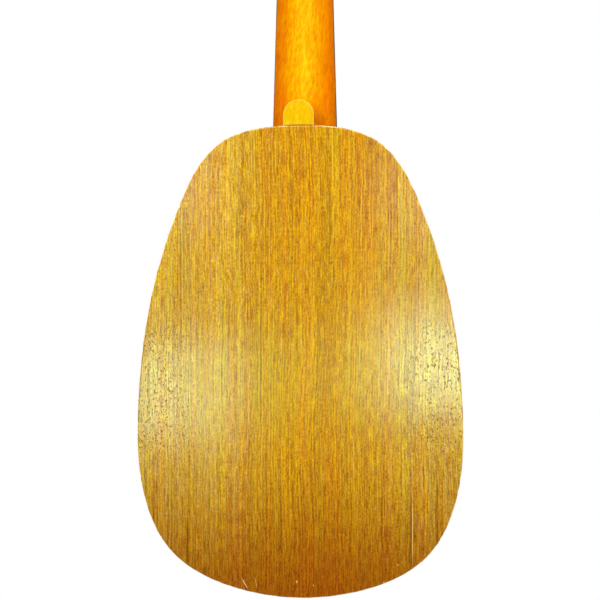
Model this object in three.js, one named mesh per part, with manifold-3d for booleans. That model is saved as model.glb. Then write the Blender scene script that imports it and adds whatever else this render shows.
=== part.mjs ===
// A necked mountain dulcimer: a flat-backed, pineapple-shaped box on a guitar-style neck, with a
// diatonic fingerboard and four strings in three courses, the melody course doubled.
// Millimetres. +Z runs up the neck, the strings face -Y and the flat back faces +Y.
// The origin is where a wall hanger holds it: the back of the neck, on the centre line, by the nut.

import * as THREE from "three";
import { mergeVertices } from "three/addons/utils/BufferGeometryUtils.js";
import Module from "manifold-3d";

const wasm = await Module();
wasm.setup();

// ---------- driving dimensions ----------
// While it is drawn, the tail of the body is at z = 0 and the soundboard's outer face at y = 0.

const glueLine = 0.1; // clear space left between two glued faces

const bodyLength = 300;
const bodyDepth = 60;
const topThickness = 2.2;
const backThickness = 2.4;
const sideThickness = 2;
const liningWidth = 6;
const liningDepth = 7;

const scaleLength = 420;
const octaveAtBody = scaleLength / 2; // the seventh fret, an octave up, is over the neck joint
const nutLine = bodyLength + octaveAtBody;
const bridgeLine = nutLine - scaleLength;

const widthAtNut = 32.5;
const widthAtBody = 44.3;
const boardOverhang = 0.45;
const neckDepthAtNut = 12.5;
const neckDepthAtBody = 15;
const hangDepth = 13.7; // from the soundboard's plane to the back of the neck at the nut
const boardThickness = 5;
const boardOverBody = 80;

const heelWidth = 19.5;
const heelReach = 16.2;

const headTilt = THREE.MathUtils.degToRad(12);
const headplateFront = -0.5;
const headplateBack = 1.1;
const headBack = 14.5;
const nutThickness = 4.5;
const headStart = nutLine + nutThickness + glueLine;

const fretHeight = 1;
const fretSemitones = [2, 4, 5, 7, 9, 10, 11, 12, 14, 16, 17, 19];
const fretNames = ["1", "2", "3", "4", "5", "6", "6_half", "7", "8", "9", "10", "11"];

// Strings from the bass side to the treble side. atNut and atSaddle are distances from the centre line.
const strings = [
  { name: "bass", radius: 0.3, atNut: -12.5, atSaddle: -19, side: -1, row: "lower" },
  { name: "middle", radius: 0.2, atNut: -1.5, atSaddle: -2, side: -1, row: "upper" },
  { name: "melody_inner", radius: 0.17, atNut: 9, atSaddle: 14.5, side: 1, row: "upper" },
  { name: "melody_outer", radius: 0.17, atNut: 12.5, atSaddle: 19, side: 1, row: "lower" },
];
const nutHeight = boardThickness + fretHeight + 0.5; // of a string's middle, above the soundboard
const saddleHeight = 10.65;

// Tuning machines, in the headstock's own frame: x across, y out of its back, z up the head.
const postRow = { lower: 38, upper: 92 };
const postInset = 17; // from the centre line
const postRadius = 3;
const waistRadius = 2.5;
const postTop = -13;
const windingLevel = -4.5; // where a string reaches its post
const plateFace = headBack + glueLine;
const plateThickness = 1;
const wormLift = 4.5; // of the worm's axis above the headstock's back
const gearTeeth = 14;
const wormPitch = 2.4;
const gearPitchRadius = (gearTeeth * wormPitch) / (2 * Math.PI);
const gearThickness = 3.2;
const wormPitchRadius = 2.6;
const wormDrop = gearPitchRadius + wormPitchRadius; // of the worm's axis below its post

// ---------- materials ----------

function material(color, roughness, metalness = 0) {
  return new THREE.MeshStandardMaterial({ color, roughness, metalness });
}
const amberPlywood = material(0xc98a35, 0.4);
const amberNeckWood = material(0xd9861f, 0.35);
const capWood = material(0xd9a63c, 0.4);
const spruce = material(0xe3b872, 0.4);
const insideWood = material(0xcfa877, 0.8);
const rosewood = material(0x3a2218, 0.5);
const bone = material(0xe9e0c8, 0.35);
const nickel = material(0xc9c7c0, 0.25, 1);
const brass = material(0xb8924a, 0.3, 1);
const steel = material(0xd0d0d0, 0.2, 1);
const bronze = material(0xb07a3f, 0.3, 1);
const ivory = material(0xe8dcb8, 0.3);

// ---------- building helpers ----------

const point = (x, y) => new THREE.Vector2(x, y);

function toSolid(geometry) {
  const bare = geometry.clone();
  bare.deleteAttribute("normal");
  bare.deleteAttribute("uv");
  const merged = mergeVertices(bare, 1e-4);
  return new wasm.Manifold(
    new wasm.Mesh({
      numProp: 3,
      vertProperties: merged.attributes.position.array,
      triVerts: new Uint32Array(merged.index.array),
    }),
  );
}

function toGeometry(solid) {
  const mesh = solid.getMesh();
  const geometry = new THREE.BufferGeometry();
  geometry.setAttribute("position", new THREE.BufferAttribute(mesh.vertProperties, 3));
  geometry.setIndex(new THREE.BufferAttribute(mesh.triVerts, 1));
  return geometry;
}

// A box from its limits along x, y and z.
function block([x0, x1], [y0, y1], [z0, z1]) {
  const geometry = new THREE.BoxGeometry(x1 - x0, y1 - y0, z1 - z0);
  return geometry.translate((x0 + x1) / 2, (y0 + y1) / 2, (z0 + z1) / 2);
}

// A shape drawn in x and z, given thickness from one y to another.
function slab(shape, yFront, yBack, curveSegments = 6) {
  const depth = yBack - yFront;
  const geometry = new THREE.ExtrudeGeometry(shape, { depth, bevelEnabled: false, curveSegments });
  return geometry.rotateX(Math.PI / 2).translate(0, yBack, 0);
}

// A profile drawn in z and y, run across from one x to another.
function bar(profile, xFrom, xTo, curveSegments = 6) {
  const depth = xTo - xFrom;
  const geometry = new THREE.ExtrudeGeometry(profile, { depth, bevelEnabled: false, curveSegments });
  return geometry.rotateY(-Math.PI / 2).translate(xTo, 0, 0);
}

// A cylinder between two y levels, on the axis x, z.
function peg(radius, yFront, yBack, x = 0, z = 0, sides = 24) {
  const geometry = new THREE.CylinderGeometry(radius, radius, yBack - yFront, sides);
  return geometry.translate(x, (yFront + yBack) / 2, z);
}

// A cylinder between two x values, on the axis y, z.
function rod(radius, xFrom, xTo, y, z, sides = 16) {
  const geometry = new THREE.CylinderGeometry(radius, radius, Math.abs(xTo - xFrom), sides);
  return geometry.rotateZ(Math.PI / 2).translate((xFrom + xTo) / 2, y, z);
}

// A closed skin over rings of points, each ring joined to the next and both ends capped.
function loft(rings) {
  const count = rings[0].length;
  const vertices = rings.flat();
  const triangles = [];
  for (let r = 0; r + 1 < rings.length; r++) {
    for (let i = 0; i < count; i++) {
      const a = r * count + i;
      const b = r * count + ((i + 1) % count);
      triangles.push([a, b, a + count], [b, b + count, a + count]);
    }
  }
  const last = (rings.length - 1) * count;
  for (let i = 1; i + 1 < count; i++) {
    triangles.push([0, i + 1, i], [last, last + i, last + i + 1]);
  }
  const volume = triangles.reduce((sum, [a, b, c]) => {
    return sum + vertices[a].dot(vertices[b].clone().cross(vertices[c]));
  }, 0);
  const facingOut = volume > 0 ? triangles : triangles.map(([a, b, c]) => [a, c, b]);
  const geometry = new THREE.BufferGeometry().setFromPoints(vertices);
  return geometry.setIndex(facingOut.flat());
}

// A closed shape from the points of its right half, first and last on the centre line.
function mirrored(rightHalf) {
  const leftHalf = rightHalf.slice(1, -1).reverse();
  return new THREE.Shape([...rightHalf, ...leftHalf.map((p) => point(-p.x, p.y))]);
}

// ---------- the body's outline ----------

// A smooth arc from a to b, leaving a along angleA and arriving at b along angleB, in degrees.
function sweep(a, angleA, reachA, b, angleB, reachB) {
  const along = (angle, reach) => point(reach, 0).rotateAround(point(0, 0), angle);
  const turn = THREE.MathUtils.degToRad;
  const leave = a.clone().add(along(turn(angleA), reachA));
  const arrive = b.clone().sub(along(turn(angleB), reachB));
  return new THREE.CubicBezierCurve(a, leave, arrive, b);
}

const shoulder = point(75.6, 252.5);
const widest = point(103.7, 100.4);
const tailCorner = point(82.4, 28.9);
const rightSide = new THREE.CurvePath();
rightSide.add(sweep(point(0, bodyLength), 0, 44, shoulder, -67.6, 41.6));
rightSide.add(sweep(shoulder, -67.6, 48.7, widest, -90, 60.6));
rightSide.add(sweep(widest, -90, 27, tailCorner, -131.9, 22));
rightSide.add(sweep(tailCorner, -131.9, 28.8, point(0, 0), -180, 25));

// Points down the right side, moved inwards by inset, from one fraction of its length to another.
function sidePoints(inset, from = 0, to = 1, count = 60) {
  const points = [];
  for (let i = 0; i <= count; i++) {
    const u = from + ((to - from) * i) / count;
    const at = rightSide.getPoint(u);
    const along = rightSide.getTangent(u);
    const onCentreLine = u === 0 || u === 1;
    points.push(point(onCentreLine ? 0 : at.x + along.y * inset, at.y - along.x * inset));
  }
  return points;
}

const bodyShape = (inset) => mirrored(sidePoints(inset));

function halfWidthAt(z, inset) {
  const points = sidePoints(inset);
  const below = points.findIndex((p, i) => i > 0 && p.y <= z);
  const [a, b] = [points[below - 1], points[below]];
  return a.x + ((b.x - a.x) * (a.y - z)) / (a.y - b.y);
}

// ---------- the body's pieces ----------

const topInside = topThickness + glueLine;
const backInside = bodyDepth - backThickness - glueLine;
const insideSides = sideThickness + glueLine;

function heart(x, z) {
  const halfWidth = 13;
  const hole = new THREE.Path();
  hole.moveTo(x, z - 13);
  hole.bezierCurveTo(x + 4, z - 7, x + halfWidth, z - 1, x + halfWidth, z + 5.5);
  hole.bezierCurveTo(x + halfWidth, z + 13, x + 2.5, z + 13, x, z + 6.5);
  hole.bezierCurveTo(x - 2.5, z + 13, x - halfWidth, z + 13, x - halfWidth, z + 5.5);
  hole.bezierCurveTo(x - halfWidth, z - 1, x - 4, z - 7, x, z - 13);
  return hole;
}

function soundboard() {
  const shape = bodyShape(0);
  const soundHoleSpread = 50;
  const soundHoleHeight = 166;
  shape.holes.push(heart(-soundHoleSpread, soundHoleHeight), heart(soundHoleSpread, soundHoleHeight));
  return slab(shape, 0, topThickness);
}

const backPlate = () => slab(bodyShape(0), bodyDepth - backThickness, bodyDepth);

// A strip that follows one side, between two insets.
function strip(side, [outerInset, innerInset], [from, to, count], yFront, yBack) {
  const outer = sidePoints(outerInset, from, to, count);
  const inner = sidePoints(innerInset, from, to, count).reverse();
  const clearOfCentre = ({ x, y }) => point(side * Math.max(x, glueLine), y);
  return slab(new THREE.Shape([...outer, ...inner].map(clearOfCentre)), yFront, yBack);
}

const rib = (side) => strip(side, [0, sideThickness], [0, 1, 60], topInside, backInside);

const liningInset = insideSides + 0.3;

function lining(side, yFront) {
  const blockToBlock = [0.085, 0.93, 24];
  const insets = [liningInset, liningInset + liningWidth];
  return strip(side, insets, blockToBlock, yFront, yFront + liningDepth);
}

// An end block, fitted to the inside of the sides.
function endBlock(halfWidth, zFrom, zTo) {
  const blank = block([-halfWidth, halfWidth], [topInside, backInside], [zFrom, zTo]);
  const inside = slab(bodyShape(insideSides), 0, bodyDepth);
  return toGeometry(toSolid(blank).intersect(toSolid(inside)));
}

// A bar across the inside of a plate at height z, with scooped-down ends. outward is -1 on the top.
function brace(z, plateInside, outward, depth = 11, width = 8) {
  const inset = liningInset + liningWidth + 0.4;
  const half = Math.min(halfWidthAt(z - width / 2, inset), halfWidthAt(z + width / 2, inset));
  const endDepth = 3;
  const scoop = 26;
  const level = (amount) => plateInside - outward * amount;
  const profile = new THREE.Shape();
  profile.moveTo(-half, level(0));
  profile.lineTo(half, level(0));
  profile.lineTo(half, level(endDepth));
  profile.quadraticCurveTo(half - scoop / 2, level(endDepth), half - scoop, level(depth));
  profile.lineTo(scoop - half, level(depth));
  profile.quadraticCurveTo(scoop / 2 - half, level(endDepth), -half, level(endDepth));
  const geometry = new THREE.ExtrudeGeometry(profile, {
    depth: width,
    bevelEnabled: false,
    curveSegments: 4,
  });
  return geometry.translate(0, 0, z - width / 2);
}

function bridgePatch() {
  const [halfLength, halfHeight, thickness] = [48, 19, 2];
  return block(
    [-halfLength, halfLength],
    [topInside, topInside + thickness],
    [bridgeLine - 3 - halfHeight, bridgeLine - 3 + halfHeight],
  );
}

// ---------- the neck ----------

// The fingerboard and neck share one straight taper, and the board stands a little proud each side.
function neckWidth(z) {
  return widthAtNut + ((widthAtBody - widthAtNut) * (nutLine - z)) / octaveAtBody;
}

function halfBoard(z) {
  return neckWidth(z) / 2 + boardOverhang;
}

function neckDepth(z) {
  return neckDepthAtNut + ((neckDepthAtBody - neckDepthAtNut) * (nutLine - z)) / octaveAtBody;
}

// Where the headstock's own frame sits, and a point given in it.
const headFrame = new THREE.Matrix4()
  .makeRotationX(-headTilt)
  .setPosition(new THREE.Vector3(0, 0, headStart));
const onHead = (x, y, z) => new THREE.Vector3(x, y, z).applyMatrix4(headFrame);

// A D section, flat at the front. The lower its squareness, the squarer its corners.
function dSection(halfWidth, depth, squareness) {
  const around = 18;
  const points = [];
  for (let i = 0; i <= around; i++) {
    const angle = (Math.PI * i) / around;
    const c = Math.cos(angle);
    const x = halfWidth * Math.sign(c) * Math.abs(c) ** squareness;
    const y = i % around === 0 ? 0 : depth * Math.sin(angle) ** squareness;
    points.push(point(x, y));
  }
  return points;
}

// The shaft: a straight taper from the body, then a smooth turn into the headstock's own section.
function neckShaft() {
  const shaftSection = (z) => dSection(neckWidth(z) / 2, neckDepth(z), 0.82);
  const headSection = dSection(widthAtNut / 2, headBack, 0.07);
  const [turnFrom, turnTo, turnSteps] = [-34, 6, 8];
  const rings = [bodyLength - 6, headStart + turnFrom - 8].map((z) =>
    shaftSection(z).map((p) => new THREE.Vector3(p.x, p.y, z)),
  );
  for (let s = 0; s <= turnSteps; s++) {
    const t = s / turnSteps;
    const along = turnFrom + (turnTo - turnFrom) * t;
    const blend = t * t * (3 - 2 * t);
    const shaft = shaftSection(headStart + along);
    rings.push(
      headSection.map((p, i) => {
        const onShaft = new THREE.Vector3(shaft[i].x, shaft[i].y, headStart + along);
        return onShaft.lerp(onHead(p.x, p.y, along), blend);
      }),
    );
  }
  return loft(rings);
}

// A round-ended tongue that reaches up the neck from the top of the body, in x and z.
function tonguePoints(halfWidth, reach) {
  const straight = heelReach - heelWidth / 2;
  const root = bodyLength - 8;
  const shoulderLine = bodyLength + straight;
  const points = [point(halfWidth, root)];
  const steps = 14;
  for (let i = 0; i <= steps; i++) {
    const angle = (Math.PI * i) / steps;
    const z = shoulderLine + (reach - straight) * Math.sin(angle);
    points.push(point(halfWidth * Math.cos(angle), z));
  }
  return [...points, point(-halfWidth, root)];
}

// The heel: narrow at its cap, and flared in a concave sweep where it runs into the shaft.
function heel() {
  const capLevel = bodyDepth - backThickness - glueLine;
  const sweepStart = 40;
  const flare = (y, sweepEnd) => {
    const up = Math.min(1, Math.max(0, (sweepStart - y) / (sweepStart - sweepEnd)));
    return 1 - Math.sqrt(1 - up * up);
  };
  const levels = [6, 11, 11.6, 12.6, 13.8, 14.6, 16, 18.5, 22, 26, 32, sweepStart, capLevel];
  const rings = levels.map((y) => {
    const spread = 0.9 * (1 - y / capLevel);
    const outline = tonguePoints(
      heelWidth / 2 + spread + 6.4 * flare(y, 11),
      heelReach + spread + 17 * flare(y, 13.8),
    );
    return outline.map((p) => new THREE.Vector3(p.x, y, p.y));
  });
  return loft(rings);
}

function heelCap() {
  const tongue = slab(
    new THREE.Shape(tonguePoints(heelWidth / 2, heelReach)),
    bodyDepth - backThickness,
    bodyDepth,
  );
  return toGeometry(toSolid(tongue).subtract(bodyEnvelope()));
}

// Everything inside the body's outline, and a hair more, as a cutter for what butts against it.
function bodyEnvelope() {
  return toSolid(slab(bodyShape(-glueLine), -1, bodyDepth + 1));
}

// A paddle with flared sides and a low crowned top, drawn in the headstock's x and z.
function headShape() {
  const half = new THREE.Path();
  const waist = widthAtNut / 2;
  half.moveTo(0, 0);
  half.lineTo(waist, 0);
  half.lineTo(waist, 3);
  half.bezierCurveTo(waist + 0.4, 13, 26.5, 10, 27.5, 22);
  half.lineTo(29.5, 112);
  half.bezierCurveTo(30, 125, 21, 126, 14, 127.5);
  half.bezierCurveTo(8, 129, 5, 133, 0, 133);
  return mirrored(half.getPoints(7));
}

function postBores() {
  const boreRadius = 4;
  return strings.map(({ side, row }) => {
    return toSolid(peg(boreRadius, -5, headBack + 5, side * postInset, postRow[row]));
  });
}

function neck() {
  const overHead = block([-60, 60], [-40, headplateBack], [-glueLine, 160]);
  const head = toSolid(slab(headShape(), headplateBack, headBack));
  const boredHead = postBores().reduce((solid, bore) => solid.subtract(bore), head);
  const placedHead = toSolid(toGeometry(boredHead).applyMatrix4(headFrame));
  return toGeometry(
    toSolid(neckShaft())
      .add(toSolid(heel()))
      .subtract(toSolid(overHead.applyMatrix4(headFrame)))
      .add(placedHead)
      .subtract(bodyEnvelope())
      .subtract(toSolid(block([-60, 60], [-20, 0], [0, headStart]))),
  );
}

// In the headstock's frame.
function headplate() {
  const veneer = toSolid(slab(headShape(), headplateFront, headplateBack - glueLine));
  return toGeometry(postBores().reduce((solid, bore) => solid.subtract(bore), veneer));
}

// ---------- fingerboard, frets and nut ----------

const boardFace = -boardThickness;
const fretLine = (semitones) => nutLine - scaleLength * (1 - 2 ** (-semitones / 12));

function fingerboard() {
  const [slotWidth, slotDepth] = [0.6, 2.2];
  const end = bodyLength - boardOverBody;
  const half = [
    point(0, nutLine),
    point(halfBoard(nutLine), nutLine),
    point(halfBoard(end), end),
    point(0, end),
  ];
  const board = toSolid(slab(mirrored(half), boardFace, -glueLine));
  return toGeometry(
    fretSemitones.reduce((solid, semitones) => {
      const z = fretLine(semitones);
      const slot = block(
        [-40, 40],
        [boardFace - 1, boardFace + slotDepth],
        [z - slotWidth / 2, z + slotWidth / 2],
      );
      return solid.subtract(toSolid(slot));
    }, board),
  );
}

// A fret's rounded crown on its tang, drawn in z and y.
function fret(semitones) {
  const [halfCrown, halfTang, tangDepth, lift] = [1.1, 0.22, 1.9, 0.04];
  const z = fretLine(semitones);
  const seat = boardFace - lift;
  const profile = new THREE.Shape();
  profile.moveTo(z - halfTang, boardFace + tangDepth);
  profile.lineTo(z + halfTang, boardFace + tangDepth);
  profile.lineTo(z + halfTang, seat);
  profile.lineTo(z + halfCrown, seat);
  profile.quadraticCurveTo(z + halfCrown, seat - fretHeight, z, seat - fretHeight);
  profile.quadraticCurveTo(z - halfCrown, seat - fretHeight, z - halfCrown, seat);
  profile.lineTo(z - halfTang, seat);
  const reach = halfBoard(z) - 0.5;
  return bar(profile, -reach, reach, 4);
}

function nut() {
  const profile = new THREE.Shape();
  const top = -nutHeight - 0.1;
  const [front, rear] = [nutLine + glueLine, nutLine + nutThickness];
  profile.moveTo(front, -glueLine);
  profile.lineTo(front, top);
  profile.lineTo(front + 1, top);
  profile.quadraticCurveTo(rear, top + 0.4, rear, top + 2.6);
  profile.lineTo(rear, -glueLine);
  const half = halfBoard(nutLine);
  return cutBy(stringSolids(0.06), bar(profile, -half, half));
}

// ---------- bridge and saddle ----------

const bridge = { front: bridgeLine + 9, rear: bridgeLine - 15, halfWidth: 42, height: 7 };
const saddle = { front: bridgeLine + 1.3, rear: bridgeLine - 1.3, halfWidth: 24, seat: -2.4 };

// The bridge is its side-on outline and its plan in one: low wings, a raised middle, a tie block.
function bridgeBody() {
  const [wingHeight, middleHalf, rise] = [3.2, 26, 7];
  const elevation = new THREE.Shape();
  elevation.moveTo(-bridge.halfWidth, -glueLine);
  elevation.lineTo(-bridge.halfWidth, -wingHeight);
  elevation.lineTo(-middleHalf - rise, -wingHeight);
  elevation.quadraticCurveTo(-middleHalf - rise / 2, -bridge.height, -middleHalf, -bridge.height);
  elevation.lineTo(middleHalf, -bridge.height);
  elevation.quadraticCurveTo(middleHalf + rise / 2, -bridge.height, middleHalf + rise, -wingHeight);
  elevation.lineTo(bridge.halfWidth, -wingHeight);
  elevation.lineTo(bridge.halfWidth, -glueLine);
  const blank = new THREE.ExtrudeGeometry(elevation, {
    depth: bridge.front - bridge.rear,
    bevelEnabled: false,
    curveSegments: 5,
  }).translate(0, 0, bridge.rear);

  const corner = 7;
  const plan = new THREE.Path();
  plan.moveTo(0, bridge.front);
  plan.lineTo(bridge.halfWidth - corner, bridge.front);
  plan.quadraticCurveTo(bridge.halfWidth, bridge.front, bridge.halfWidth, bridge.front - corner);
  plan.lineTo(bridge.halfWidth, bridge.rear + corner);
  plan.quadraticCurveTo(bridge.halfWidth, bridge.rear, bridge.halfWidth - corner, bridge.rear);
  plan.lineTo(0, bridge.rear);
  const outline = slab(mirrored(plan.getPoints(4)), -20, 5);

  const slot = block(
    [-saddle.halfWidth - glueLine, saddle.halfWidth + glueLine],
    [-20, saddle.seat + glueLine],
    [saddle.rear - glueLine, saddle.front + glueLine],
  );
  const channelHalf = 24;
  const channel = block([-channelHalf, channelHalf], [-20, -3.4], [bridge.rear + 8, saddle.rear]);
  return cutBy(
    [toSolid(slot), toSolid(channel), ...stringSolids(0.3)],
    toGeometry(toSolid(blank).intersect(toSolid(outline))),
  );
}

function saddleBar() {
  const crest = -saddleHeight + 0.36;
  const profile = new THREE.Shape();
  profile.moveTo(saddle.front, saddle.seat);
  profile.lineTo(saddle.front, crest + 0.5);
  profile.quadraticCurveTo(bridgeLine + 0.9, crest, bridgeLine, crest);
  profile.lineTo(bridgeLine - 0.6, crest + 1);
  profile.lineTo(saddle.rear, crest + 2.1);
  profile.lineTo(saddle.rear, saddle.seat);
  return bar(profile, -saddle.halfWidth, saddle.halfWidth, 4);
}

// ---------- strings ----------

// A curve whose sections fall on its own points, so that a long straight run needs only two.
class StringRun extends THREE.CatmullRomCurve3 {
  getUtoTmapping(u) {
    return u;
  }
}

// From behind the tie block, over the saddle and the nut, to the inner side of its post.
function stringRun({ atNut, atSaddle, radius, side, row }) {
  const across = (z) => atSaddle + ((atNut - atSaddle) * (z - bridgeLine)) / scaleLength;
  const at = (z, height) => new THREE.Vector3(across(z), -height, z);
  const tieHeight = 4.6;
  const reached = side * (postInset - waistRadius - radius - 0.05);
  const post = onHead(reached, windingLevel, postRow[row]);
  const nutEnd = at(nutLine + 2.2, nutHeight - 0.1);
  const shortOfPost = nutEnd.clone().lerp(post, 0.9);
  return new StringRun(
    [
      at(bridge.rear - 0.6, tieHeight),
      at(bridge.rear + 8, tieHeight),
      at(bridge.rear + 9, tieHeight + 0.4),
      at(bridgeLine - 1, saddleHeight - 0.9),
      at(bridgeLine - 0.3, saddleHeight - 0.15),
      at(bridgeLine + 0.5, saddleHeight),
      at(bridgeLine + 4, saddleHeight - 0.03),
      at(nutLine - 3, nutHeight + 0.02),
      at(nutLine + 1, nutHeight),
      nutEnd,
      nutEnd.clone().lerp(post, 0.06),
      shortOfPost,
      post,
    ],
    false,
    "centripetal",
  );
}

function stringTube(string, extraRadius = 0) {
  const run = stringRun(string);
  const section = new THREE.Shape();
  const sides = 8;
  for (let i = 0; i < sides; i++) {
    const angle = (2 * Math.PI * i) / sides;
    const reach = string.radius + extraRadius;
    const corner = [reach * Math.cos(angle), reach * Math.sin(angle)];
    if (i === 0) section.moveTo(...corner);
    else section.lineTo(...corner);
  }
  return new THREE.ExtrudeGeometry(section, {
    steps: run.points.length - 1,
    extrudePath: run,
    bevelEnabled: false,
  });
}

const stringSolids = (extraRadius) => strings.map((s) => toSolid(stringTube(s, extraRadius)));

function cutBy(cutters, geometry) {
  return toGeometry(cutters.reduce((solid, cutter) => solid.subtract(cutter), toSolid(geometry)));
}

// ---------- tuning machines, in the headstock's frame ----------

const wormLevel = headBack + wormLift + glueLine;

// A slotted capstan post with its shoulder on the plate and a seat for the gear. Its axis is y.
function post() {
  const shoulderTop = wormLevel - gearThickness / 2 - 0.1;
  const profile = [
    [0, postTop],
    [2.6, postTop],
    [postRadius, postTop + 0.5],
    [postRadius, -8.2],
    [waistRadius, -7.2],
    [waistRadius, -3.2],
    [postRadius, -2.2],
    [postRadius, plateFace + plateThickness + 0.1],
    [3.7, plateFace + plateThickness + 0.1],
    [3.7, shoulderTop],
    [2, shoulderTop],
    [2, wormLevel + gearThickness / 2 + 0.3],
    [0, wormLevel + gearThickness / 2 + 0.3],
  ];
  const turned = new THREE.LatheGeometry(profile.map(([x, y]) => point(x, y)), 20);
  const eye = rod(0.7, -5, 5, -6, 0, 8);
  return cutBy([toSolid(eye)], turned);
}

// A wheel with straight-sided teeth, twisted to the worm's lead. Its axis is y, one tooth down.
function gear() {
  const [rootRadius, tipRadius] = [gearPitchRadius - 1, gearPitchRadius + 0.65];
  const [rootHalf, tipHalf] = [0.78, 0.22];
  const wheel = new THREE.Shape();
  for (let tooth = 0; tooth < gearTeeth; tooth++) {
    const middle = -Math.PI / 2 + (2 * Math.PI * tooth) / gearTeeth;
    const corners = [
      [rootRadius, -rootHalf],
      [tipRadius, -tipHalf],
      [tipRadius, tipHalf],
      [rootRadius, rootHalf],
    ];
    for (const [radius, half] of corners) {
      const angle = middle + half / radius;
      const corner = [radius * Math.cos(angle), radius * Math.sin(angle)];
      if (tooth === 0 && half === -rootHalf) wheel.moveTo(...corner);
      else wheel.lineTo(...corner);
    }
  }
  wheel.holes.push(new THREE.Path().absarc(0, 0, 2.2, 0, 2 * Math.PI));
  const geometry = slab(wheel, -gearThickness / 2, gearThickness / 2, 12);
  const lead = wormPitch / (2 * Math.PI * wormPitchRadius);
  const position = geometry.attributes.position;
  for (let i = 0; i < position.count; i++) {
    const vertex = new THREE.Vector3().fromBufferAttribute(position, i);
    vertex.applyAxisAngle(new THREE.Vector3(0, 1, 0), (vertex.y * lead) / gearPitchRadius);
    position.setXYZ(i, vertex.x, vertex.y, vertex.z);
  }
  return geometry.translate(0, wormLevel, 0);
}

// A right-handed worm on its shaft. Its axis is x, and side says which way the knob's end points.
function worm(side) {
  const shaft = rod(1.6, side * -7.2, side * 23.5, 0, 0);
  const [rootRadius, tipRadius, rootHalf, tipHalf] = [1.4, 3.2, 0.78, 0.28];
  const [turns, steps] = [2.9, 14];
  const rings = [];
  for (let i = 0; i <= turns * steps; i++) {
    const angle = 2 * Math.PI * (i / steps - turns / 2);
    const x = wormPitch * (i / steps - turns / 2);
    const corner = (radius, offset) => {
      // A tooth of the gear points straight at the worm, so a thread's gap lies there.
      const turned = angle + Math.PI / 2 + Math.PI;
      return new THREE.Vector3(x + offset, radius * Math.cos(turned), radius * Math.sin(turned));
    };
    rings.push([
      corner(rootRadius, -rootHalf),
      corner(tipRadius, -tipHalf),
      corner(tipRadius, tipHalf),
      corner(rootRadius, rootHalf),
    ]);
  }
  return toGeometry(toSolid(shaft).add(toSolid(loft(rings))));
}

// An oval button on a collar, bored for the worm's shaft.
function knob(side) {
  const middle = 23.5;
  const oval = new THREE.SphereGeometry(1, 16, 10).scale(8.6, 3.9, 7.4).translate(side * middle, 0, 0);
  const collar = rod(2.7, side * 13.6, side * 18, 0, 0);
  const bore = rod(1.7, side * 12, side * 23.8, 0, 0);
  return cutBy([toSolid(bore)], toGeometry(toSolid(oval).add(toSolid(collar))));
}

function bushing() {
  const [inner, outer, flange] = [3.2, 3.85, 5.8];
  const face = headplateFront - glueLine;
  const profile = [
    [inner, face - 1],
    [flange - 0.6, face - 1],
    [flange, face - 0.5],
    [flange, face],
    [outer, face],
    [outer, 6],
    [inner, 6],
    [inner, face - 1],
  ];
  return new THREE.LatheGeometry(profile.map(([x, y]) => point(x, y)), 24);
}

// One strip for the two machines on a side, with a pair of upright bearings for each worm.
function tunerPlate() {
  const [halfWidth, endMargin] = [6.3, 17];
  const [from, to] = [postRow.lower - endMargin - 4, postRow.upper + endMargin - 4];
  const shape = new THREE.Shape();
  shape.absarc(0, from + halfWidth, halfWidth, Math.PI, 2 * Math.PI);
  shape.absarc(0, to - halfWidth, halfWidth, 0, Math.PI);
  let plate = toSolid(slab(shape, plateFace, plateFace + plateThickness));
  for (const z of Object.values(postRow)) {
    plate = plate.subtract(toSolid(peg(3.35, 0, 30, 0, z)));
    for (const side of [-1, 1]) plate = plate.add(toSolid(bearing(side, z - wormDrop)));
  }
  return toGeometry(plate);
}

function bearing(side, z) {
  const [near, far, radius, bore] = [4.9, 6.1, 3, 1.85];
  const upright = new THREE.Shape();
  upright.moveTo(z - radius, plateFace + plateThickness / 2);
  upright.lineTo(z + radius, plateFace + plateThickness / 2);
  upright.absarc(z, wormLevel, radius, 0, Math.PI);
  upright.holes.push(new THREE.Path().absarc(z, wormLevel, bore, 0, 2 * Math.PI));
  const [from, to] = side > 0 ? [near, far] : [-far, -near];
  return bar(upright, from, to, 8);
}

// ---------- assembly ----------

const dulcimer = new THREE.Group();
dulcimer.position.set(0, -hangDepth, -nutLine);

function add(parent, name, geometry, finish) {
  const mesh = new THREE.Mesh(geometry, finish);
  mesh.name = name;
  parent.add(mesh);
  return mesh;
}

add(dulcimer, "back_plate", backPlate(), amberPlywood);
add(dulcimer, "soundboard", soundboard(), spruce);
add(dulcimer, "neck_block", endBlock(27, bodyLength - 20, bodyLength), insideWood);
add(dulcimer, "tail_block", endBlock(26, 0, 14), insideWood);
add(dulcimer, "bridge_patch", bridgePatch(), insideWood);
add(dulcimer, "back_brace_upper", brace(205, backInside, 1), insideWood);
add(dulcimer, "back_brace_lower", brace(95, backInside, 1), insideWood);
add(dulcimer, "top_brace_upper", brace(206, topInside, -1), insideWood);
add(dulcimer, "top_brace_lower", brace(126, topInside, -1), insideWood);
for (const [name, side] of [["bass", -1], ["treble", 1]]) {
  add(dulcimer, `${name}_side`, rib(side), amberPlywood);
  add(dulcimer, `${name}_top_lining`, lining(side, topInside), insideWood);
  add(dulcimer, `${name}_back_lining`, lining(side, backInside - liningDepth), insideWood);
}

add(dulcimer, "neck", neck(), amberNeckWood);
add(dulcimer, "heel_cap", heelCap(), capWood);
add(dulcimer, "fingerboard", fingerboard(), rosewood);
add(dulcimer, "nut", nut(), bone);
add(dulcimer, "bridge", bridgeBody(), rosewood);
add(dulcimer, "saddle", saddleBar(), bone);
fretSemitones.forEach((semitones, i) => {
  add(dulcimer, `fret_${fretNames[i]}`, fret(semitones), nickel);
});
for (const string of strings) {
  const finish = string.name === "bass" ? bronze : steel;
  add(dulcimer, `${string.name}_string`, stringTube(string), finish);
}

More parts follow.
